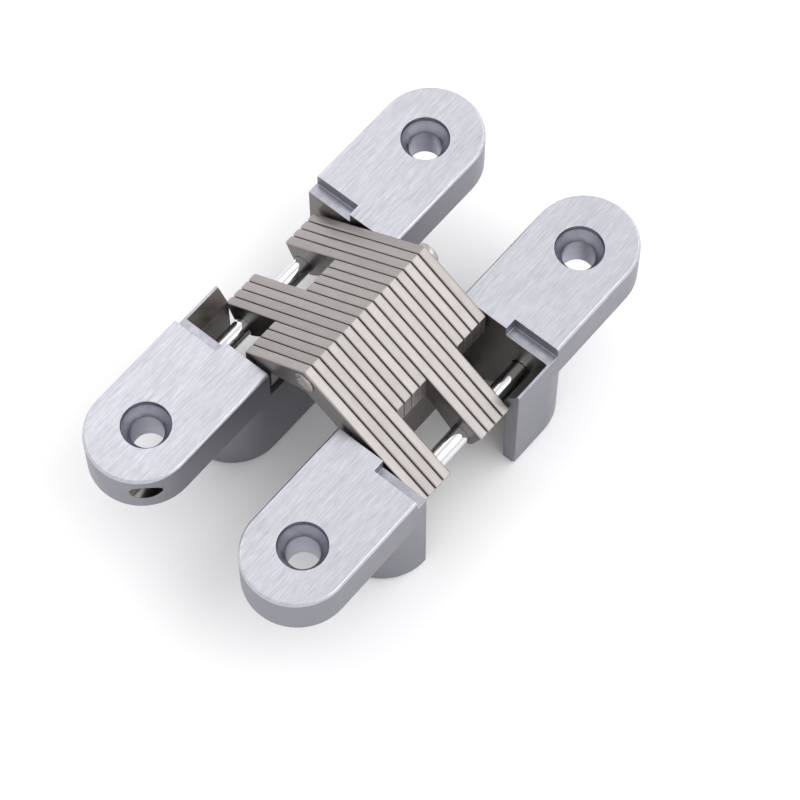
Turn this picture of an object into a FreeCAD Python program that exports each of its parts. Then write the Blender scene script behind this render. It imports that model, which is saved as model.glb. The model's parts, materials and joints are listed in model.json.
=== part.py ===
# Concealed invisible door hinge, modelled lying open at 180 degrees.
# Two alike die-cast leaves are joined by sixteen stamped link plates that cross on one centre pin.
# Each plate turns on a pivot pin in one leaf, and its long arm carries a slide pin in the other.
# Millimetres. +Z is out of the leaf faces, Y runs along the leaves, and X goes from leaf 1 to leaf 2.
# The origin is under the middle of the hinge, in the plane of the cup bottoms.
import FreeCAD, Part
import math
import os

Vector = FreeCAD.Vector

# Leaf: ears, cup and face
leaf_width = 19.0
ear_thickness = 9.0
cup_depth = 27.0
end_wall = 9.7
cup_to_screw = 10.3
screw_to_end_arc = 1.5
face_edge_break = 0.4
ear_edge_break = 0.3
cup_edge_break = 0.7

# Leaf: walls round the pocket
inner_wall = 1.8
inner_wall_drop = 7.4
outer_wall = 2.6
outer_wall_land = 0.45
outer_wall_slope_drop = 3.0
outer_wall_clearance = 0.25

# Leaf: shallow recess over the outer half, for the centre pin heads when the hinge is shut
recess_depth = 2.4
recess_past_middle = 0.2
recess_past_pocket = 2.3

# Leaf: screw holes, each a short counterbore, a cone and a clearance hole
screw_hole_radius = 2.9
screw_head_radius = 4.3
screw_head_lip = 1.0
screw_cone_depth = 1.7

# Link plates, in groups that belong to the two link sets in turn
groups_in_stack = 4
plates_in_group = 4
plate_thickness = 1.88
plate_gap = 0.06
plate_edge_chamfer = 0.2
pocket_end_clearance = 0.48

# Link outline: a short arm with a round nose, and a long arm that swells to an eye at its end
ridge_above_centre_pin = 3.25
arm_above_slide_pin = 4.64
arm_width = 5.35
arm_past_slide_pin = 2.1
eye_wall = 1.1
eye_swell_length = 9.5
nose_wall = 1.0
nose_side_clearance = 0.05
nose_inner_edge_rise = 3.7
notch_clearance = 0.3

# Pins
pivot_pin_radius = 1.85
centre_pin_radius = 1.7
slide_pin_radius = 1.75
running_clearance = 0.05
centre_head_radius = 2.15
centre_head_thickness = 1.2
centre_head_chamfer = 0.45
centre_tail_radius = 2.0
centre_tail_thickness = 0.3
centre_tail_chamfer = 0.15
pin_end_chamfer = 0.3
pivot_pin_blind_depth = 5.0
pivot_pin_bore_side = 5.0
slide_groove_depth = 3.0
slide_pin_end_clearance = 0.4
slide_groove_clearance = 0.15

# Linkage, lying open: heights are measured from the leaf faces
leaf_gap = 15.0
pivot_pin_depth = 4.0
centre_pin_height = 5.9
slide_pin_depth = 10.0
slide_pin_side_clearance = 1.45
fold_deg = 180.0
short_arm_swing_deg = 112.0

# Worked-out sizes
half_width = leaf_width / 2
face_z = cup_depth
plate_pitch = plate_thickness + plate_gap
stack_length = groups_in_stack * plates_in_group * plate_pitch
group_length = plates_in_group * plate_pitch
pocket_half = stack_length / 2 + pocket_end_clearance
cup_end_centre = pocket_half + end_wall - half_width
screw_y = pocket_half + end_wall + cup_to_screw
end_arc_y = screw_y + screw_to_end_arc
ear_end_y = end_arc_y + half_width
nose_radius = pivot_pin_radius + nose_wall
pivot_u = half_width - nose_radius - nose_side_clearance
slide_u = -half_width + outer_wall + slide_pin_side_clearance + slide_pin_radius
leaf_spacing = leaf_width + leaf_gap
centre_u = leaf_spacing / 2
overshoot = 5.0


def polar(centre, radius, angle):
    """Point at a distance and an angle from a centre, in the plane across the pins."""
    return (centre[0] + radius * math.cos(angle), centre[1] + radius * math.sin(angle))


def angle_from(centre, point):
    """Angle of a point seen from a centre, in the plane across the pins."""
    return math.atan2(point[1] - centre[1], point[0] - centre[0])


# Pin places across one leaf: u from its middle towards the other leaf, w up from its face
pivot_at = (pivot_u, -pivot_pin_depth)
centre_open = (centre_u, centre_pin_height)
slide_open = (slide_u, -slide_pin_depth)
short_reach = math.dist(pivot_at, centre_open)
long_reach = math.dist(centre_open, slide_open)
short_angle = angle_from(pivot_at, centre_open)
long_angle = angle_from(centre_open, slide_open)
short_swing = math.radians(short_arm_swing_deg)
long_swing = math.radians(fold_deg - short_arm_swing_deg)


def slide_pin_place(share):
    """Place of the slide pin across its leaf, at a share of the way from open to shut."""
    centre = polar(pivot_at, short_reach, short_angle + share * short_swing)
    return polar(centre, long_reach, long_angle + share * long_swing)


def across(u, w, y=0.0):
    """Point of a leaf's own frame as a vector: u across, w from the face, y along."""
    return Vector(u, y, face_z + w)


def prism_along_y(edges, y_low, length):
    """Solid with an outline across the pins, from y_low for a length along them."""
    face = Part.Face(Part.Wire(edges))
    face.translate(Vector(0, y_low, 0))
    return face.extrude(Vector(0, length, 0))


def line(a, b):
    return Part.LineSegment(across(*a), across(*b)).toShape()


def arc(a, middle, b):
    return Part.Arc(across(*a), across(*middle), across(*b)).toShape()


def block(u_low, u_high, y_low, y_high, w_low, w_high):
    size = (u_high - u_low, y_high - y_low, w_high - w_low)
    return Part.makeBox(*size, Vector(u_low, y_low, face_z + w_low))


def rod(u, w, y_low, y_high, radius):
    return Part.makeCylinder(radius, y_high - y_low, across(u, w, y_low), Vector(0, 1, 0))


def stadium(arc_y, w_low, w_high):
    """Upright solid with two straight sides and two half-round ends, as wide as the leaf."""
    r = half_width
    z = face_z + w_low
    right = Part.LineSegment(Vector(r, -arc_y, z), Vector(r, arc_y, z)).toShape()
    top = Part.Arc(Vector(r, arc_y, z), Vector(0, arc_y + r, z), Vector(-r, arc_y, z)).toShape()
    left = Part.LineSegment(Vector(-r, arc_y, z), Vector(-r, -arc_y, z)).toShape()
    bottom = Part.Arc(Vector(-r, -arc_y, z), Vector(0, -arc_y - r, z), Vector(r, -arc_y, z)).toShape()
    return Part.Face(Part.Wire([right, top, left, bottom])).extrude(Vector(0, 0, w_high - w_low))


def break_level(solid, w, size):
    """Break every edge that lies at one height."""
    z = face_z + w
    edges = [e for e in solid.Edges if abs(e.BoundBox.ZMin - z) < 1e-6 and abs(e.BoundBox.ZMax - z) < 1e-6]
    return solid.makeChamfer(size, edges)


def casting_blank():
    """Ears and cup before anything is cut: one flat face, a round-ended plate and a round-ended cup."""
    ears = stadium(end_arc_y, -ear_thickness, 0.0)
    ears = break_level(ears, 0.0, face_edge_break)
    ears = break_level(ears, -ear_thickness, ear_edge_break)
    cup = stadium(cup_end_centre, -cup_depth, -face_edge_break)
    cup = break_level(cup, -cup_depth, cup_edge_break)
    return ears.fuse(cup).removeSplitter()


def pocket():
    """Space for the links: right through the cup, over a lowered inner wall and out of the side.

    The outer wall stays only beside the last group of plates, whose short arms need no way out. Its top
    slopes down to the pocket from a narrow land.
    """
    inner_face = half_width - inner_wall
    outer_face = -half_width + outer_wall
    beyond = half_width + overshoot
    well = block(outer_face, inner_face, -pocket_half, pocket_half, -cup_depth - overshoot, overshoot)
    over_wall = block(inner_face - overshoot, beyond, -pocket_half, pocket_half, -inner_wall_drop, overshoot)
    wall_end = -group_length - outer_wall_clearance
    window = block(-beyond, outer_face + overshoot, wall_end, pocket_half, -cup_depth - overshoot, overshoot)
    recess_end = pocket_half + recess_past_pocket
    recess = block(-beyond, -recess_past_middle, -recess_end, recess_end, -recess_depth, overshoot)
    land_edge = (-half_width + outer_wall_land, -recess_depth)
    slope_foot = (outer_face, -recess_depth - outer_wall_slope_drop)
    corner = (outer_face, -recess_depth)
    slope_edges = [line(land_edge, slope_foot), line(slope_foot, corner), line(corner, land_edge)]
    slope = prism_along_y(slope_edges, -pocket_half, pocket_half)
    return [well, over_wall, window, recess, slope]


def slide_groove():
    """Groove that guides the ends of the slide pin, along the path of the pin and out of the cup bottom.

    Its two sides are curves at the groove's half width from the path. Where the path bends more tightly
    than that, the points of a side that the pin itself would pass over are left out.
    """
    half = slide_pin_radius + slide_groove_clearance
    steps = 8
    pin_places = 64
    fine = 1e-4
    swept = [slide_pin_place(k / pin_places) for k in range(pin_places + 1)]
    just_clear = 0.99 * half
    left = []
    right = []
    for k in range(steps + 1):
        u, w = slide_pin_place(k / steps)
        before = slide_pin_place(k / steps - fine)
        after = slide_pin_place(k / steps + fine)
        span = math.dist(before, after)
        normal = ((after[1] - before[1]) / span, -(after[0] - before[0]) / span)
        for side, sign in ((left, 1), (right, -1)):
            point = (u + sign * half * normal[0], w + sign * half * normal[1])
            if min(math.dist(point, place) for place in swept) > just_clear:
                side.append(point)
    start = swept[0]
    ahead = slide_pin_place(fine)
    back = math.atan2(start[1] - ahead[1], start[0] - ahead[0])
    cap = arc(right[0], polar(start, half, back), left[0])
    sides = []
    for points in (left, right):
        curve = Part.BSplineCurve()
        curve.interpolate([across(*p) for p in points])
        sides.append(curve.toShape())
    last = swept[-1]
    before = slide_pin_place(1.0 - fine)
    run = (cup_depth + overshoot + last[1]) / (before[1] - last[1])
    drop = ((last[0] - before[0]) * run, (last[1] - before[1]) * run)
    left_out = (left[-1][0] + drop[0], left[-1][1] + drop[1])
    right_out = (right[-1][0] + drop[0], right[-1][1] + drop[1])
    edges = [cap, sides[0], line(left[-1], left_out), line(left_out, right_out),
             line(right_out, right[-1]), sides[1]]
    wire = Part.Wire(Part.__sortEdges__(edges))
    end = pocket_half + slide_groove_depth
    face = Part.Face(wire)
    face.translate(Vector(0, -end, 0))
    return face.extrude(Vector(0, 2 * end, 0))


def screw_hole(y):
    """Round lip, cone and clearance hole for one countersunk screw."""
    lip = Part.makeCylinder(screw_head_radius, screw_head_lip + overshoot, across(0, -screw_head_lip, y))
    cone_low = across(0, -screw_head_lip - screw_cone_depth, y)
    cone = Part.makeCone(screw_hole_radius, screw_head_radius, screw_cone_depth, cone_low)
    hole = Part.makeCylinder(screw_hole_radius, ear_thickness + overshoot,
                             across(0, -ear_thickness - overshoot, y))
    return [lip, cone, hole]


def pivot_bore():
    """Bore for the pivot pin, drilled in from one end of the leaf and blind past the pocket."""
    radius = pivot_pin_radius + running_clearance
    return rod(*pivot_at, -ear_end_y - overshoot, pocket_half + pivot_pin_blind_depth, radius)


def make_leaf():
    """One casting, in its own frame: the middle of its face is at x = 0, its inner side at +x."""
    cuts = pocket() + [slide_groove(), pivot_bore()]
    for side in (-1, 1):
        cuts += screw_hole(side * screw_y)
    leaf = casting_blank()
    for tool in cuts:
        leaf = leaf.cut(tool)
    return leaf


def chamfered_rod(u, w, half_length, radius):
    """Round pin centred on y = 0, with both ends chamfered."""
    pin = rod(u, w, -half_length, half_length, radius)
    ends = [e for e in pin.Edges if e.BoundBox.YLength < 1e-6 and abs(abs(e.BoundBox.YMin) - half_length) < 1e-6]
    return pin.makeChamfer(pin_end_chamfer, ends)


def make_pivot_pin():
    """Fixed pin of one leaf, in the leaf's own frame, pushed to the bottom of its blind bore."""
    y_low = -pocket_half - pivot_pin_bore_side
    y_high = pocket_half + pivot_pin_blind_depth - pin_end_chamfer
    pin = chamfered_rod(*pivot_at, (y_high - y_low) / 2, pivot_pin_radius)
    pin.translate(Vector(0, (y_high + y_low) / 2, 0))
    return pin


def make_slide_pin():
    """Sliding pin of one leaf, in the leaf's own frame, with its ends in the two grooves."""
    half_length = pocket_half + slide_groove_depth - slide_pin_end_clearance
    return chamfered_rod(*slide_open, half_length, slide_pin_radius)


def make_centre_pin():
    """Pin through the whole stack, with a head at its +Y end and a low peened tail at the other."""
    half = stack_length / 2
    pin = rod(0, centre_pin_height, -half, half, centre_pin_radius)
    ends = ((1, centre_head_radius, centre_head_thickness, centre_head_chamfer),
            (-1, centre_tail_radius, centre_tail_thickness, centre_tail_chamfer))
    for side, radius, thickness, chamfer in ends:
        start = across(0, centre_pin_height, side * half)
        disc = Part.makeCylinder(radius, thickness, start, Vector(0, side, 0))
        rim_y = side * (half + thickness)
        rim = [e for e in disc.Edges if e.BoundBox.YLength < 1e-6 and abs(e.BoundBox.YMin - rim_y) < 1e-6]
        pin = pin.fuse(disc.makeChamfer(chamfer, rim))
    return pin.removeSplitter()


def tangent_point(start, centre, radius, side):
    """Where a line from a point touches a circle, on its left (1) or its right (-1) as seen from the point."""
    spread = math.acos(radius / math.dist(start, centre))
    return polar(centre, radius, angle_from(centre, start) - side * spread)


def link_outline():
    """Corners and edges of one link plate, as it lies open: short arm to leaf 1, long arm to leaf 2.

    Here the first coordinate is x, from the centre pin, and the second is the height over the faces.
    Returns the two corners of its upper side, at the ridge and at the end of the long arm, and all edges.
    """
    ridge = (0.0, centre_pin_height + ridge_above_centre_pin)
    eye = (centre_u - slide_u, -slide_pin_depth)
    eye_radius = slide_pin_radius + eye_wall
    reach = math.dist(ridge, eye)
    slope = angle_from(ridge, eye) + math.asin(arm_above_slide_pin / reach)
    eye_along = math.sqrt(reach ** 2 - arm_above_slide_pin ** 2)
    into_arm = slope - math.pi / 2
    tip = polar(ridge, eye_along + arm_past_slide_pin, slope)
    swell = polar(polar(ridge, eye_along - eye_swell_length, slope), arm_width, into_arm)
    eye_top = tangent_point(tip, eye, eye_radius, 1)
    eye_side = tangent_point(swell, eye, eye_radius, -1)
    elbow = (0.0, ridge[1] - arm_width / math.cos(slope))
    nose = (pivot_u - centre_u, -pivot_pin_depth)
    inner_low = (nose[0] + nose_radius, nose[1])
    inner_high = (inner_low[0], inner_low[1] + nose_inner_edge_rise)
    outer_low = (nose[0] - nose_radius, nose[1])
    outer_high = (outer_low[0], ridge[1] - outer_low[0] * math.tan(slope))
    edges = [line(ridge, tip), line(tip, eye_top),
             arc(eye_top, polar(eye, eye_radius, into_arm), eye_side),
             line(eye_side, swell), line(swell, elbow), line(elbow, inner_high), line(inner_high, inner_low),
             arc(inner_low, (nose[0], nose[1] - nose_radius), outer_low),
             line(outer_low, outer_high), line(outer_high, ridge)]
    return (ridge, tip), edges


def stop_notch(y_low, length):
    """Round-bottomed notch in the long arm, which meets the pivot pin of its leaf when fully open.

    It runs out of the arm the way that the pin leaves it, square to the line from the centre pin.
    """
    pin = (centre_u - pivot_u, -pivot_pin_depth)
    radius = pivot_pin_radius + notch_clearance
    round_end = rod(*pin, y_low, y_low + length, radius)
    way_out = Part.makeBox(2 * radius, length, arm_width, across(pin[0] - radius, pin[1] - arm_width, y_low))
    lean = math.degrees(math.atan2(centre_pin_height - pin[1], pin[0]))
    way_out.rotate(across(*pin, y_low), Vector(0, 1, 0), lean)
    return round_end.fuse(way_out)


def make_link(y_centre):
    """One plate of set A, centred on y_centre, with its upper edges broken and its three holes."""
    y_low = y_centre - plate_thickness / 2
    corners, edges = link_outline()
    plate = prism_along_y(edges, y_low, plate_thickness)
    plate = plate.cut(stop_notch(y_low, plate_thickness))
    for x, w, radius in ((pivot_u - centre_u, -pivot_pin_depth, pivot_pin_radius),
                         (0.0, centre_pin_height, centre_pin_radius),
                         (centre_u - slide_u, -slide_pin_depth, slide_pin_radius)):
        y_high = y_low + plate_thickness
        plate = plate.cut(rod(x, w, y_low - overshoot, y_high + overshoot, radius + running_clearance))
    ends = [across(*corner, y) for corner in corners for y in (y_low, y_low + plate_thickness)]
    upper = [e for e in plate.Edges
             if e.BoundBox.YLength < 1e-6 and any(v.Point.isEqual(end, 1e-6) for v in e.Vertexes for end in ends)]
    return plate.makeChamfer(plate_edge_chamfer, upper)


def on_leaf(shape, number):
    """Place a shape of a leaf's own frame on leaf 1, or turned half round on leaf 2."""
    placed = shape.copy()
    placed.translate(Vector(-leaf_spacing / 2, 0, 0))
    if number == 2:
        placed.rotate(Vector(0, 0, 0), Vector(0, 0, 1), 180)
    return placed


def plate_places():
    """Y of every plate of set A: it has every second group, counted from the +Y end."""
    places = []
    for group in range(1, groups_in_stack, 2):
        for k in range(plates_in_group):
            number = group * plates_in_group + k
            places.append(stack_length / 2 - (number + 0.5) * plate_pitch)
    return places


def build():
    """All parts by name. Set B is set A turned half round about the upright axis."""
    parts = {}
    leaf = make_leaf()
    pivot_pin = make_pivot_pin()
    slide_pin = make_slide_pin()
    for number in (1, 2):
        parts["leaf_%d" % number] = on_leaf(leaf, number)
        parts["pivot_pin_%d" % number] = on_leaf(pivot_pin, number)
        parts["slide_pin_%d" % number] = on_leaf(slide_pin, number)
    parts["centre_pin"] = make_centre_pin()
    for k, y in enumerate(plate_places()):
        plate = make_link(y)
        parts["link_a_%02d" % (k + 1)] = plate
        turned = plate.copy()
        turned.rotate(Vector(0, 0, 0), Vector(0, 0, 1), 180)
        parts["link_b_%02d" % (k + 1)] = turned
    return parts


os.makedirs("parts", exist_ok=True)
for name, shape in build().items():
    shape.exportStep("parts/%s.step" % name)
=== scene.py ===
import json
import math

import bmesh
import bpy
from bpy.props import FloatProperty, FloatVectorProperty, IntProperty, PointerProperty
from mathutils import Matrix, Vector


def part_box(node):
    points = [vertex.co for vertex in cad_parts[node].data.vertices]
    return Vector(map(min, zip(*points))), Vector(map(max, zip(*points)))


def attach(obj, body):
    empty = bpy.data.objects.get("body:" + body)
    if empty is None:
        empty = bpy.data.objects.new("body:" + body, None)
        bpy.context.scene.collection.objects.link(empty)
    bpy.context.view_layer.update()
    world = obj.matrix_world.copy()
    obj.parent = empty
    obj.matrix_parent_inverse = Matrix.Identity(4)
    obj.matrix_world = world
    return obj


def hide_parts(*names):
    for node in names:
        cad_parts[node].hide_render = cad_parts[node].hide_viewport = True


bl_info = {
    "name": "Concealed Invisible Hinge",
    "version": (1, 0, 0),
    "blender": (4, 5, 0),
    "location": "3D View > Sidebar > Hinge",
    "description": "Brushed castings, link plates, ground pins and a plain studio for a concealed hinge",
    "category": "Object",
}

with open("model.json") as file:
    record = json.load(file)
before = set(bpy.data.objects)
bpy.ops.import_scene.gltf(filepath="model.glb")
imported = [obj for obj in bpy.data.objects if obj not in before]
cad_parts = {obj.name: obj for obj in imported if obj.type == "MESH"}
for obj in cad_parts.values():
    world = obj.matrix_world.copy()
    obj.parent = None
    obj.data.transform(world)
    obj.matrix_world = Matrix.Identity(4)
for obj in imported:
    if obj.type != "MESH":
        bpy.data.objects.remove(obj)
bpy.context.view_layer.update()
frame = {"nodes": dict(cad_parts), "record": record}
MM = 0.001

# Camera of the photograph, as it was fitted to the leaf outlines: it looks at a point of the leaf faces
IMAGE_PIXELS = 800
CAMERA_AZIMUTH = math.radians(39.98)
CAMERA_ELEVATION = math.radians(63.08)
CAMERA_ROLL = math.radians(-0.10)
CAMERA_DISTANCE = 511.23 * MM
CAMERA_RIGHT = 5.677 * MM
CAMERA_UP = -10.841 * MM
CAMERA_FOCAL_PIXELS = 3061.2
CAMERA_SENSOR = 36.0


def linear(colour):
    """Linear red, green and blue of an sRGB hex colour."""
    shares = [int(colour[k:k + 2], 16) / 255 for k in (1, 3, 5)]
    return [s / 12.92 if s <= 0.04045 else ((s + 0.055) / 1.055) ** 2.4 for s in shares]


def middle(node):
    """Middle of a CAD node's box."""
    low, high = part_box(node)
    return (low + high) / 2


# Places that several pieces share, read from the frame
MOUNTS = {mount["name"]: mount for mount in frame["record"]["mounts"]}
LEAF_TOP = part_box("leaf_1")[1].z
LEAF_MIDDLE = abs(middle("leaf_1").x)
EAR_UNDERSIDE = MOUNTS["leaf_1_seat"]["pos_m"][2]
SCREW_Y = MOUNTS["leaf_1_screw_holes"]["dims"]["spacing_y_mm"] / 2 * MM
PIVOT = middle("pivot_pin_2")
GROOVE_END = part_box("slide_pin_1")[1].y

# Shape of a leaf, which its finishes follow. Outward is away from the links, from the middle of the leaf
RECESS_DEPTH = 2.4 * MM
SCREW_HOLE_RADIUS = 4.3 * MM
BORE_REACH = 2.0 * MM
POCKET_INWARD = -7.75 * MM
POCKET_OUTWARD = 6.95 * MM
POCKET_BEYOND_GROOVE = 0.5 * MM
SLOPE_INWARD = 6.9 * MM
SLOPE_OUTWARD = 9.0 * MM
BRUSHING_DEPTH = 0.5 * MM
THROAT_HEIGHT = 0.4 * MM
MARGIN = 0.1 * MM

# Finishes of a leaf, in the order of its material slots
FACE, SIDE, POCKET, SCREW_HOLE, RECESS = range(5)

# An edge of a CAD solid that turns more than this is a real one, not one between the facets of a curve
REAL_EDGE = math.radians(28)

# A corner of a pin's profile that turns more than this is shaded sharp
PIN_CORNER = math.radians(35)

# The tail of the centre pin is this much smaller in radius than its head
TAIL_NARROWER = 0.15 * MM

FLOOR_HALF = 1500 * MM


class HingeSizes(bpy.types.PropertyGroup):
    casting_edge: FloatProperty(
        name="Casting Edge", description="How far the edges of the castings are rounded over",
        default=0.13 * MM, min=0, soft_max=0.4 * MM, precision=5, unit="LENGTH")
    plate_edge: FloatProperty(
        name="Plate Edge", description="How far the edges of the link plates are rounded over",
        default=0.15 * MM, min=0, soft_max=0.3 * MM, precision=5, unit="LENGTH")
    pin_edge: FloatProperty(
        name="Pin Edge", description="How far the ends of the pins are rounded over",
        default=0.4 * MM, min=0, soft_max=1.0 * MM, precision=5, unit="LENGTH")
    centre_pin_radius: FloatProperty(
        name="Centre Pin Radius", description="Radius of the centre pin between its head and its tail",
        default=1.7 * MM, min=1.0 * MM, soft_max=1.9 * MM, precision=5, unit="LENGTH")
    centre_head: FloatProperty(
        name="Centre Pin Head", description="Thickness of the centre pin's head",
        default=1.2 * MM, min=0.6 * MM, soft_max=1.5 * MM, precision=5, unit="LENGTH")
    centre_tail: FloatProperty(
        name="Centre Pin Tail", description="Thickness of the centre pin's peened tail, at its other end",
        default=0.3 * MM, min=0.1 * MM, soft_max=1.0 * MM, precision=5, unit="LENGTH")
    plates_per_group: IntProperty(
        name="Plates per Group", description="Link plates that lie side by side in each group",
        default=4, min=1, soft_max=8)
    groups: IntProperty(
        name="Groups", description="Groups of link plates in each link set",
        default=2, min=1, soft_max=4)
    tone_spread: FloatProperty(
        name="Tone Spread", description="How much the link plates differ in tone, as a share of it",
        default=0.07, min=0, max=0.5, subtype="FACTOR")
    # Painted shade: the share by which the link plates' flats are darkened, standing in for the shade between
    # the stacked plates
    flat_painted_shade: FloatProperty(
        name="Flat Painted Shade", description="Tone of the link plates' flats, as a share of that of their edges",
        default=0.6, min=0, max=1, subtype="FACTOR")


class HingeFinishes(bpy.types.PropertyGroup):
    face: FloatVectorProperty(
        name="Brushed Face", description="Satin chrome on the brushed faces of the leaves",
        default=linear("#C0C0C8"), subtype="COLOR", min=0, max=1)
    side: FloatVectorProperty(
        name="Casting Side", description="Satin chrome on the sides of the leaves, as they left the mould",
        default=linear("#8B8B92"), subtype="COLOR", min=0, max=1)
    # Partly the thin plating's own colour and partly painted shade, standing in for the shade inside the
    # pockets, grooves and bores
    pocket: FloatVectorProperty(
        name="Pocket", description="Thin plating and painted shade inside the pockets, grooves and bores",
        default=linear("#7E7976"), subtype="COLOR", min=0, max=1)
    recess: FloatVectorProperty(
        name="Recess", description="Satin chrome on the smooth floors of the shallow recesses",
        default=linear("#AAAAB4"), subtype="COLOR", min=0, max=1)
    countersink: FloatVectorProperty(
        name="Screw Hole", description="Bright chrome in the turned screw holes",
        default=linear("#A2A2AE"), subtype="COLOR", min=0, max=1)
    plate: FloatVectorProperty(
        name="Link Plate", description="Satin nickel on the stamped link plates",
        default=linear("#A29D9B"), subtype="COLOR", min=0, max=1)
    peened: FloatVectorProperty(
        name="Peened End", description="Hammered steel at the two ends of the centre pin",
        default=linear("#B2ADA9"), subtype="COLOR", min=0, max=1)
    pin: FloatVectorProperty(
        name="Pin", description="Bright ground steel of the pins",
        default=linear("#DCDDE0"), subtype="COLOR", min=0, max=1)
    floor: FloatVectorProperty(
        name="Floor", description="Pale floor under the hinge",
        default=linear("#F8F8F9"), subtype="COLOR", min=0, max=1)


def add_node(tree, kind, inputs=None, **settings):
    """Add a node with its settings, and set or link its inputs."""
    node = tree.nodes.new(kind)
    for name, value in settings.items():
        setattr(node, name, value)
    for name, value in (inputs or {}).items():
        socket = node.inputs[name]
        if isinstance(value, bpy.types.NodeSocket):
            tree.links.new(value, socket)
        else:
            socket.default_value = value
    return node


def start_metal(name):
    """New metal material, its node tree and its shader."""
    material = bpy.data.materials.new(name)
    material.use_nodes = True
    shader = material.node_tree.nodes["Principled BSDF"]
    shader.inputs["Metallic"].default_value = 1.0
    return material, material.node_tree, shader


def grain(tree, size, detail=3.0):
    """Noise whose grain is of a given real size along X, Y and Z of the piece."""
    place = add_node(tree, "ShaderNodeTexCoord")
    scaled = add_node(tree, "ShaderNodeMapping",
                      {"Vector": place.outputs["Object"], "Scale": [1 / length for length in size]})
    noise = add_node(tree, "ShaderNodeTexNoise",
                     {"Vector": scaled.outputs["Vector"], "Scale": 1.0, "Detail": detail})
    return noise.outputs[0]


def spread(tree, pattern, low, high):
    """A pattern's usual range of values, spread over another range."""
    usual = {"Value": pattern, "From Min": 0.3, "From Max": 0.7, "To Min": low, "To Max": high}
    return add_node(tree, "ShaderNodeMapRange", usual, clamp=False).outputs[0]


def finish_surface(tree, shader, colour, tones, roughness, height, relief):
    """Tone a metal by the product of its patterns, and give it a roughness and a relief."""
    tone = tones[0]
    for other in tones[1:]:
        tone = add_node(tree, "ShaderNodeMath", {0: tone, 1: other}, operation="MULTIPLY").outputs[0]
    tinted = add_node(tree, "ShaderNodeVectorMath", {"Vector": colour, "Scale": tone}, operation="SCALE")
    bump = add_node(tree, "ShaderNodeBump", {"Height": height, "Distance": relief, "Strength": 1.0})
    tree.links.new(tinted.outputs["Vector"], shader.inputs["Base Color"])
    tree.links.new(roughness, shader.inputs["Roughness"])
    tree.links.new(bump.outputs["Normal"], shader.inputs["Normal"])


def brushed_satin_chrome(colour):
    """Zinc casting, satin chrome plated and brushed along its length.

    The belt leaves fine scratches a few millimetres long. Real ones are well under 0.1 mm wide: they are
    drawn about 0.2 mm wide so that they show, with hairlines of about 0.1 mm between them. Broad, faint
    bands and a little mottling come from uneven pressure.
    """
    material, tree, shader = start_metal("Brushed satin chrome on zinc")
    scratch = grain(tree, (0.22 * MM, 5.0 * MM, 0.22 * MM), 1.0)
    hair = grain(tree, (0.09 * MM, 2.2 * MM, 0.09 * MM), 1.0)
    band = grain(tree, (1.5 * MM, 25.0 * MM, 1.5 * MM), 1.0)
    mottle = grain(tree, (0.7 * MM, 1.4 * MM, 0.7 * MM), 2.0)
    tones = [spread(tree, scratch, 0.91, 1.09), spread(tree, hair, 0.91, 1.09),
             spread(tree, band, 0.97, 1.03), spread(tree, mottle, 0.96, 1.04)]
    finish_surface(tree, shader, colour, tones, spread(tree, scratch, 0.40, 0.32), scratch, 0.003 * MM)
    return material


def satin_chrome_casting(colour):
    """Zinc die casting, tumbled and satin chrome plated: a fine even orange peel with a soft sheen."""
    material, tree, shader = start_metal("Satin chrome on tumbled zinc")
    peel = grain(tree, (0.35 * MM,) * 3)
    cloud = grain(tree, (5.0 * MM,) * 3, 1.0)
    tones = [spread(tree, peel, 0.97, 1.03), spread(tree, cloud, 0.96, 1.04)]
    finish_surface(tree, shader, colour, tones, spread(tree, cloud, 0.40, 0.50), peel, 0.006 * MM)
    return material


def smooth_recess(colour):
    """Floor of a shallow recess: flat from the mould and bright, as the belt and the stones miss it.

    The plating clouds softly there, a millimetre or two across.
    """
    material, tree, shader = start_metal("Bright chrome on moulded zinc")
    cloud = grain(tree, (1.4 * MM,) * 3, 2.0)
    skin = grain(tree, (0.3 * MM,) * 3)
    tones = [spread(tree, cloud, 0.86, 1.12), spread(tree, skin, 0.97, 1.03)]
    finish_surface(tree, shader, colour, tones, spread(tree, cloud, 0.36, 0.26), skin, 0.003 * MM)
    return material


def pocket_with_painted_shade(colour):
    """Inside of a pocket: as cast, where the plating is thin and the polishing doesn't reach.
    Its colour is darkened further by painted shade, which stands in for the shade inside the pocket.
    """
    material, tree, shader = start_metal("Thin chrome on cast zinc, with painted shade")
    skin = grain(tree, (0.5 * MM,) * 3)
    stain = grain(tree, (4.0 * MM,) * 3, 2.0)
    tones = [spread(tree, skin, 0.92, 1.08), spread(tree, stain, 0.85, 1.15)]
    finish_surface(tree, shader, colour, tones, spread(tree, stain, 0.32, 0.48), skin, 0.008 * MM)
    return material


def turned_screw_hole(colour):
    """Screw hole cut after the casting: bright chrome over the fine rings of the countersink."""
    material, tree, shader = start_metal("Bright chrome on a turned countersink")
    rings = grain(tree, (6.0 * MM, 6.0 * MM, 0.16 * MM), 1.0)
    chatter = grain(tree, (1.5 * MM,) * 3, 2.0)
    tones = [spread(tree, rings, 0.94, 1.06), spread(tree, chatter, 0.92, 1.08)]
    finish_surface(tree, shader, colour, tones, spread(tree, chatter, 0.34, 0.46), rings, 0.001 * MM)
    return material


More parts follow.
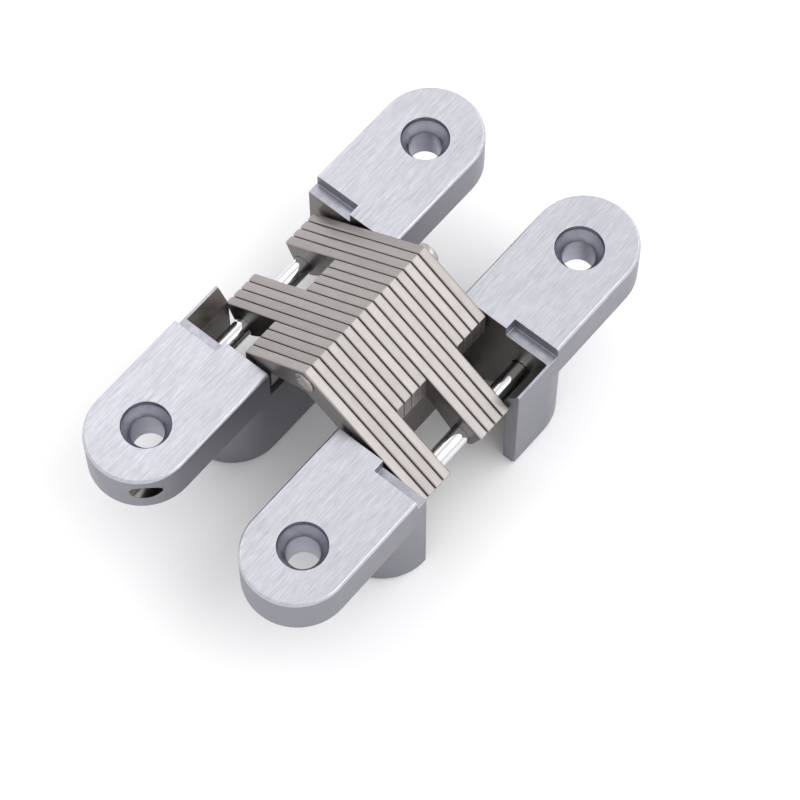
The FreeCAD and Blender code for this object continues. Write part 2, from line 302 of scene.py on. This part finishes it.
def satin_nickel_plate(colour):
    """Stamped steel plate, satin nickel plated: warm grey, with the shear's fine lines along the plate.

    The lines run along the plate on both of its arms, so they are long in X and Z and narrow in Y.
    Each plate has its own tone, which Geometry Nodes store on it. Its flats are darkened by a painted shade,
    which stands in for the shade that falls between the stacked plates.
    """
    material, tree, shader = start_metal("Satin nickel on stamped steel")
    shear = grain(tree, (9.0 * MM, 0.16 * MM, 9.0 * MM))
    cloud = grain(tree, (3.0 * MM,) * 3, 2.0)
    own = add_node(tree, "ShaderNodeAttribute", attribute_name="plate_tone", attribute_type="GEOMETRY")
    # Painted shade on the flats, for the shade between the stacked plates
    flat = add_node(tree, "ShaderNodeAttribute", attribute_name="flat_painted_shade", attribute_type="GEOMETRY")
    tones = [spread(tree, shear, 0.95, 1.05), spread(tree, cloud, 0.97, 1.03),
             own.outputs["Fac"], flat.outputs["Fac"]]
    finish_surface(tree, shader, colour, tones, spread(tree, cloud, 0.34, 0.44), shear, 0.008 * MM)
    return material


def ground_pin_steel(colour):
    """Centreless ground steel pin: nearly a mirror, with very fine rings round it.

    Real rings are far finer than 0.1 mm: they are drawn about as wide as that so that they show.
    """
    material, tree, shader = start_metal("Bright ground steel")
    rings = grain(tree, (2.5 * MM, 0.12 * MM, 2.5 * MM))
    wear = grain(tree, (2.0 * MM,) * 3, 2.0)
    tones = [spread(tree, rings, 0.98, 1.02), spread(tree, wear, 0.96, 1.02)]
    finish_surface(tree, shader, colour, tones, spread(tree, wear, 0.03, 0.10), rings, 0.0006 * MM)
    return material


def peened_steel(colour):
    """Steel hammered over at the end of a pin: small soft dents, duller than the ground shaft."""
    material, tree, shader = start_metal("Peened steel")
    dent = grain(tree, (0.9 * MM,) * 3, 0.0)
    skin = grain(tree, (0.4 * MM,) * 3, 1.0)
    tones = [spread(tree, dent, 0.92, 1.08), spread(tree, skin, 0.97, 1.03)]
    finish_surface(tree, shader, colour, tones, spread(tree, dent, 0.24, 0.34), dent, 0.02 * MM)
    return material


def welded_copy(node):
    """Mesh copied from a CAD node, with its loose triangles welded and its flat faces made whole."""
    bm = bmesh.new()
    bm.from_mesh(frame["nodes"][node].data)
    bmesh.ops.remove_doubles(bm, verts=bm.verts, dist=0.001 * MM)
    bmesh.ops.dissolve_limit(bm, angle_limit=math.radians(0.5), verts=bm.verts, edges=bm.edges)
    for face in bm.faces:
        face.smooth = True
    mesh = bpy.data.meshes.new(node + "_copy")
    bm.to_mesh(mesh)
    bm.free()
    return mesh


def new_piece(name, mesh):
    """Object at the origin with a mesh whose place is already in it."""
    mesh.name = name
    piece = bpy.data.objects.new(name, mesh)
    bpy.context.scene.collection.objects.link(piece)
    return piece


def settle(piece):
    """Turn a piece's live modifiers into one plain mesh."""
    depsgraph = bpy.context.evaluated_depsgraph_get()
    made = bpy.data.meshes.new_from_object(
        piece.evaluated_get(depsgraph), preserve_all_data_layers=True, depsgraph=depsgraph)
    piece.modifiers.clear()
    piece.data = made
    made.name = piece.name
    return made


def round_edges(piece, width, sharp_from=0.0, sharp_to=0.0, fillets=True):
    """Round the edges of a piece over. Those that lie wholly between two heights stay sharp.

    Inner corners get a fillet, or stay sharp where something runs close to them. The shading of each corner
    then follows its largest faces, so that flat faces look flat.
    """
    mesh = piece.data
    bm = bmesh.new()
    bm.from_mesh(mesh)
    weight = bm.edges.layers.float.new("bevel_weight_edge")
    for edge in bm.edges:
        real = edge.calc_face_angle(0.0) > REAL_EDGE
        left_alone = (all(sharp_from < vert.co.z < sharp_to for vert in edge.verts)
                      or not (fillets or edge.is_convex))
        edge[weight] = float(real and not left_alone)
        edge.smooth = not (real and left_alone)
    bm.to_mesh(mesh)
    bm.free()
    bevel = piece.modifiers.new("Rounded edges", "BEVEL")
    bevel.width = width
    bevel.segments = 2
    bevel.limit_method = "WEIGHT"
    bevel.use_clamp_overlap = False
    bevel.miter_outer = "MITER_ARC"
    shading = piece.modifiers.new("Flat faces", "WEIGHTED_NORMAL")
    shading.mode = "FACE_AREA"
    shading.keep_sharp = True
    return settle(piece)


def leaf_zone(centre, normal):
    """Finish of one face of a leaf, by its place and the way it faces. A bore gets the pocket's material,
    with its painted shade.
    """
    outward = abs(centre.x) - LEAF_MIDDLE
    along = abs(centre.y)
    down = LEAF_TOP - centre.z
    faces_up = normal.z > 0.5
    level = normal.z > 0.9
    slopes = 0.3 < normal.z < 0.9
    if faces_up and down < BRUSHING_DEPTH:
        return FACE
    from_screw = math.hypot(outward, along - SCREW_Y)
    if from_screw < SCREW_HOLE_RADIUS + MARGIN and centre.z > EAR_UNDERSIDE + MARGIN:
        return SCREW_HOLE
    if level and down < RECESS_DEPTH + MARGIN:
        return RECESS
    to_bore = Vector((math.copysign(PIVOT.x, centre.x) - centre.x, 0.0, PIVOT.z - centre.z))
    faces_bore = normal.dot(to_bore) > 0.7 * to_bore.length
    if to_bore.length < BORE_REACH and faces_bore:
        return POCKET
    in_pocket = (along < GROOVE_END + POCKET_BEYOND_GROOVE and POCKET_INWARD < outward < POCKET_OUTWARD
                 and centre.z > MARGIN)
    on_wall_slope = along < GROOVE_END and SLOPE_INWARD < outward < SLOPE_OUTWARD and slopes
    if down > RECESS_DEPTH + MARGIN and (in_pocket or on_wall_slope):
        return POCKET
    return SIDE


class HINGE_OT_castings(bpy.types.Operator):
    """Make the two leaves from the CAD solids, with rounded edges and a finish for each kind of surface"""
    bl_idname = "hinge.make_castings"
    bl_label = "Make Castings"

    def execute(self, context):
        sizes = context.scene.hinge_sizes
        finishes = context.scene.hinge_finishes
        metals = (brushed_satin_chrome(finishes.face), satin_chrome_casting(finishes.side),
                  pocket_with_painted_shade(finishes.pocket), turned_screw_hole(finishes.countersink),
                  smooth_recess(finishes.recess))
        for node in ("leaf_1", "leaf_2"):
            leaf = new_piece(node + "_casting", welded_copy(node))
            # The inner edges under the ears stay sharp, so that the throats keep flat shading beside them
            mesh = round_edges(leaf, sizes.casting_edge,
                               sharp_from=EAR_UNDERSIDE - MARGIN, sharp_to=EAR_UNDERSIDE + THROAT_HEIGHT)
            mesh.materials.clear()
            for metal in metals:
                mesh.materials.append(metal)
            for face in mesh.polygons:
                face.material_index = leaf_zone(face.center, face.normal)
            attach(leaf, node)
            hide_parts(node)
        return {"FINISHED"}


def plate_stack():
    """Geometry Nodes tree that stacks a plate into groups along Y, with room for the other set's groups."""
    tree = bpy.data.node_groups.new("Plate stack", "GeometryNodeTree")
    tree.interface.new_socket("Plate", in_out="INPUT", socket_type="NodeSocketGeometry")
    for name, kind in (("Plates per Group", "Int"), ("Groups", "Int"), ("First Place", "Float"),
                       ("Plate Pitch", "Float"), ("Turn", "Float"), ("Tone Spread", "Float"),
                       ("Seed", "Int"), ("Finish", "Material")):
        tree.interface.new_socket(name, in_out="INPUT", socket_type="NodeSocket" + kind)
    tree.interface.new_socket("Stack", in_out="OUTPUT", socket_type="NodeSocketGeometry")
    given = add_node(tree, "NodeGroupInput").outputs

    def number(operation, *values):
        return add_node(tree, "ShaderNodeMath", dict(enumerate(values)), operation=operation).outputs[0]

    index = add_node(tree, "GeometryNodeInputIndex").outputs[0]
    count = number("MULTIPLY", given["Plates per Group"], given["Groups"])
    group = number("FLOOR", number("DIVIDE", index, given["Plates per Group"]))
    skipped = number("MULTIPLY", group, given["Plates per Group"])
    along = number("MULTIPLY", number("ADD", index, skipped), given["Plate Pitch"])
    place = add_node(tree, "ShaderNodeCombineXYZ", {"Y": number("SUBTRACT", given["First Place"], along)})
    points = add_node(tree, "GeometryNodePoints", {"Count": count, "Position": place.outputs[0]})
    turn = add_node(tree, "ShaderNodeCombineXYZ", {"Z": given["Turn"]})
    plates = add_node(tree, "GeometryNodeInstanceOnPoints",
                      {"Points": points.outputs[0], "Instance": given["Plate"], "Rotation": turn.outputs[0]})
    # Inputs 2 and 3 of this node are its limits for a float, and output 1 is the float
    tone = add_node(tree, "FunctionNodeRandomValue", data_type="FLOAT")
    tree.links.new(number("SUBTRACT", 1.0, given["Tone Spread"]), tone.inputs[2])
    tree.links.new(number("ADD", 1.0, given["Tone Spread"]), tone.inputs[3])
    tree.links.new(given["Seed"], tone.inputs["Seed"])
    toned = add_node(tree, "GeometryNodeStoreNamedAttribute",
                     {"Geometry": plates.outputs[0], "Name": "plate_tone", "Value": tone.outputs[1]},
                     data_type="FLOAT", domain="INSTANCE")
    joined = add_node(tree, "GeometryNodeRealizeInstances", {"Geometry": toned.outputs[0]})
    finished = add_node(tree, "GeometryNodeSetMaterial",
                        {"Geometry": joined.outputs[0], "Material": given["Finish"]})
    add_node(tree, "NodeGroupOutput", {"Stack": finished.outputs[0]})
    return tree


class HINGE_OT_links(bpy.types.Operator):
    """Stack the stamped link plates of both link sets on their pins"""
    bl_idname = "hinge.make_links"
    bl_label = "Make Link Plates"

    def execute(self, context):
        sizes = context.scene.hinge_sizes
        metal = satin_nickel_plate(context.scene.hinge_finishes.plate)
        tree = plate_stack()
        sockets = {item.name: item.identifier for item in tree.interface.items_tree}
        plate = new_piece("plate", welded_copy("link_a_01"))
        plate.data.transform(Matrix.Translation((0, -middle("link_a_01").y, 0)))
        # A fillet in the notch of a long arm would touch the pivot pin that stops it
        blank = round_edges(plate, sizes.plate_edge, fillets=False)
        # Painted shade: each plate's flats are darkened, standing in for the shade that falls between the
        # stacked plates
        tone = blank.attributes.new("flat_painted_shade", "FLOAT", "FACE")
        for face in blank.polygons:
            is_flat = abs(face.normal.y) > 0.9
            tone.data[face.index].value = sizes.flat_painted_shade if is_flat else 1.0
        bpy.data.objects.remove(plate)
        for letter, turn, seed in (("a", 0.0, 3), ("b", math.pi, 8)):
            nodes = sorted(name for name in frame["nodes"] if name.startswith("link_%s_" % letter))
            if len(nodes) != sizes.plates_per_group * sizes.groups:
                raise RuntimeError("link set %s has %d plates in the frame" % (letter, len(nodes)))
            first, second = (middle(name).y for name in nodes[:2])
            stack = new_piece("link_set_%s_plates" % letter, blank.copy())
            modifier = stack.modifiers.new("Plate stack", "NODES")
            modifier.node_group = tree
            for name, value in (("Plates per Group", sizes.plates_per_group), ("Groups", sizes.groups),
                                ("First Place", first), ("Plate Pitch", first - second), ("Turn", turn),
                                ("Tone Spread", sizes.tone_spread), ("Seed", seed), ("Finish", metal)):
                modifier[sockets[name]] = value
            settle(stack)
            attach(stack, "link_set_" + letter)
            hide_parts(*nodes)
        return {"FINISHED"}


def rounded_end(end, radius, rounding, side):
    """Profile of a pin's end, from its side to its flat: the distance along the pin and the radius."""
    steps = 5
    turns = [k / steps * math.pi / 2 for k in range(steps + 1)]
    return [(end - side * rounding * (1 - math.sin(turn)), radius - rounding * (1 - math.cos(turn)))
            for turn in turns]


def peened_end(end, thickness, pin_radius, radius, side):
    """Profile of a hammered end of the centre pin: square under its rim, then domed, with a slight dimple."""
    under = end - side * thickness
    dome = [(under, pin_radius), (under, radius)]
    for across, rise in ((1.0, 0.45), (0.97, 0.70), (0.86, 0.87), (0.65, 0.97), (0.44, 1.0), (0.2, 0.9)):
        dome.append((under + side * rise * thickness, across * radius))
    return dome


def turned(name, axis, profile):
    """Round piece along Y, turned from a profile of distances and radii, closed at both ends."""
    segments = 72
    bm = bmesh.new()
    angles = [2 * math.pi * k / segments for k in range(segments)]
    rings = [[bm.verts.new((axis.x + r * math.cos(a), y, axis.z + r * math.sin(a))) for a in angles]
             for y, r in profile]
    for here, there in zip(rings, rings[1:]):
        for k in range(segments):
            after = (k + 1) % segments
            bm.faces.new((here[k], here[after], there[after], there[k]))
    for ring, y in ((rings[0], profile[0][0]), (rings[-1], profile[-1][0])):
        pole = bm.verts.new((axis.x, y, axis.z))
        for k in range(segments):
            bm.faces.new((ring[k], ring[(k + 1) % segments], pole))
    bmesh.ops.recalc_face_normals(bm, faces=bm.faces)
    for face in bm.faces:
        face.smooth = True
    for edge in bm.edges:
        edge.smooth = edge.calc_face_angle(0.0) < PIN_CORNER
    mesh = bpy.data.meshes.new(name)
    bm.to_mesh(mesh)
    bm.free()
    return new_piece(name, mesh)


class HINGE_OT_pins(bpy.types.Operator):
    """Turn the pivot pins, the slide pins and the centre pin with its peened head and tail"""
    bl_idname = "hinge.make_pins"
    bl_label = "Make Pins"

    def execute(self, context):
        sizes = context.scene.hinge_sizes
        metal = ground_pin_steel(context.scene.hinge_finishes.pin)
        hammered = peened_steel(context.scene.hinge_finishes.peened)
        bodies = {"pivot_pin_1": "leaf_1", "pivot_pin_2": "leaf_2", "slide_pin_1": "link_set_b",
                  "slide_pin_2": "link_set_a", "centre_pin": "link_set_a"}
        for node, body in bodies.items():
            low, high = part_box(node)
            radius = (high.x - low.x) / 2
            if node == "centre_pin":
                shaft = sizes.centre_pin_radius
                tail = peened_end(low.y, sizes.centre_tail, shaft, radius - TAIL_NARROWER, -1)
                head = peened_end(high.y, sizes.centre_head, shaft, radius, 1)
                profile = tail[::-1] + head
            else:
                profile = (rounded_end(low.y, radius, sizes.pin_edge, -1)[::-1]
                           + rounded_end(high.y, radius, sizes.pin_edge, 1))
            pin = turned(node + "_turned", middle(node), profile)
            pin.data.materials.append(metal)
            if node == "centre_pin":
                pin.data.materials.append(hammered)
                for face in pin.data.polygons:
                    in_shaft = low.y + sizes.centre_tail < face.center.y < high.y - sizes.centre_head
                    face.material_index = int(not in_shaft)
            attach(pin, body)
            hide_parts(node)
        return {"FINISHED"}


def shown_white(tree):
    """Factor that is 1 for what the camera sees directly, in a reflection or through glass."""
    ray = add_node(tree, "ShaderNodeLightPath").outputs
    seen = ray["Is Camera Ray"]
    for kind in ("Is Glossy Ray", "Is Transmission Ray"):
        seen = add_node(tree, "ShaderNodeMath", {0: seen, 1: ray[kind]}, operation="MAXIMUM").outputs[0]
    return seen


def matte_floor(colour):
    """Matte paper sweep. A little light of its own lifts it to white where no shadow falls."""
    material = bpy.data.materials.new("Matte white paper")
    material.use_nodes = True
    tree = material.node_tree
    shader = tree.nodes["Principled BSDF"]
    shader.inputs["Base Color"].default_value = (*colour, 1.0)
    shader.inputs["Roughness"].default_value = 0.95
    shader.inputs["Specular IOR Level"].default_value = 0.1
    lift = add_node(tree, "ShaderNodeMath", {0: shown_white(tree), 1: 0.03}, operation="MULTIPLY")
    glow = add_node(tree, "ShaderNodeEmission", {"Strength": lift.outputs[0]})
    both = add_node(tree, "ShaderNodeAddShader", {0: shader.outputs[0], 1: glow.outputs[0]})
    tree.links.new(both.outputs[0], tree.nodes["Material Output"].inputs["Surface"])
    return material


def soft_lamp(name, direction, distance, size, power):
    """Square lamp that faces the hinge from a direction."""
    lamp = bpy.data.lights.new(name, "AREA")
    lamp.size = size
    lamp.energy = power
    holder = bpy.data.objects.new(name, lamp)
    towards = Vector(direction).normalized()
    holder.location = towards * distance
    holder.rotation_euler = towards.to_track_quat("Z", "Y").to_euler()
    bpy.context.scene.collection.objects.link(holder)


def white_world():
    """Even white all round, which lights the hinge and is also what its metal and the camera see."""
    world = bpy.data.worlds.new("Studio")
    world.use_nodes = True
    background = world.node_tree.nodes["Background"]
    background.inputs["Color"].default_value = (1.0, 1.0, 1.0, 1.0)
    background.inputs["Strength"].default_value = 1.0
    return world


def photo_camera():
    """Camera at the photograph's viewing angle."""
    a = CAMERA_AZIMUTH
    e = CAMERA_ELEVATION
    back = Vector((math.sin(a) * math.cos(e), -math.cos(a) * math.cos(e), math.sin(e)))
    level = Vector((math.cos(a), math.sin(a), 0.0))
    roll = Matrix.Rotation(CAMERA_ROLL, 3, back)
    right = roll @ level
    up = roll @ back.cross(level)
    place = Vector((0, 0, LEAF_TOP)) + back * CAMERA_DISTANCE + right * CAMERA_RIGHT + up * CAMERA_UP
    camera = bpy.data.cameras.new("Camera")
    camera.sensor_width = CAMERA_SENSOR
    camera.lens = CAMERA_FOCAL_PIXELS / IMAGE_PIXELS * CAMERA_SENSOR
    camera.clip_start = 10 * MM
    holder = bpy.data.objects.new("Camera", camera)
    turn = Matrix((right, up, back)).transposed().to_4x4()
    holder.matrix_world = Matrix.Translation(place) @ turn
    bpy.context.scene.collection.objects.link(holder)
    bpy.context.scene.camera = holder


class HINGE_OT_stage(bpy.types.Operator):
    """Lay the pale floor, set the soft studio light and place the photograph's camera"""
    bl_idname = "hinge.make_stage"
    bl_label = "Make Studio"

    def execute(self, context):
        scene = context.scene
        corners = [(x * FLOOR_HALF, y * FLOOR_HALF, 0) for x, y in ((-1, -1), (1, -1), (1, 1), (-1, 1))]
        paper = bpy.data.meshes.new("floor")
        paper.from_pydata(corners, [], [(0, 1, 2, 3)])
        paper.materials.append(matte_floor(scene.hinge_finishes.floor))
        new_piece("floor", paper)
        soft_lamp("Key", direction=(0.66, 0.28, 0.90), distance=900 * MM, size=700 * MM, power=2.3)
        soft_lamp("Top", direction=(-0.86, 0.14, 0.90), distance=1000 * MM, size=800 * MM, power=1.6)
        soft_lamp("Back", direction=(0.10, 0.90, 0.55), distance=1000 * MM, size=700 * MM, power=1.5)
        scene.world = white_world()
        scene.view_settings.view_transform = "Standard"
        photo_camera()
        return {"FINISHED"}


class HINGE_PT_panel(bpy.types.Panel):
    """Sizes and finishes of the hinge, and the operators that make it"""
    bl_idname = "HINGE_PT_panel"
    bl_label = "Concealed Hinge"
    bl_space_type = "VIEW_3D"
    bl_region_type = "UI"
    bl_category = "Hinge"

    def draw(self, context):
        for group in (context.scene.hinge_sizes, context.scene.hinge_finishes):
            for name in type(group).__annotations__:
                self.layout.prop(group, name)
        for operator in OPERATORS:
            self.layout.operator(operator.bl_idname)


OPERATORS = (HINGE_OT_castings, HINGE_OT_links, HINGE_OT_pins, HINGE_OT_stage)
CLASSES = (HingeSizes, HingeFinishes, *OPERATORS, HINGE_PT_panel)


def register():
    for cls in CLASSES:
        bpy.utils.register_class(cls)
    bpy.types.Scene.hinge_sizes = PointerProperty(type=HingeSizes)
    bpy.types.Scene.hinge_finishes = PointerProperty(type=HingeFinishes)


def unregister():
    del bpy.types.Scene.hinge_finishes
    del bpy.types.Scene.hinge_sizes
    for cls in reversed(CLASSES):
        bpy.utils.unregister_class(cls)


def main():
    register()
    bpy.ops.hinge.make_castings()
    bpy.ops.hinge.make_links()
    bpy.ops.hinge.make_pins()
    bpy.ops.hinge.make_stage()


if __name__ == "__main__":
    main()
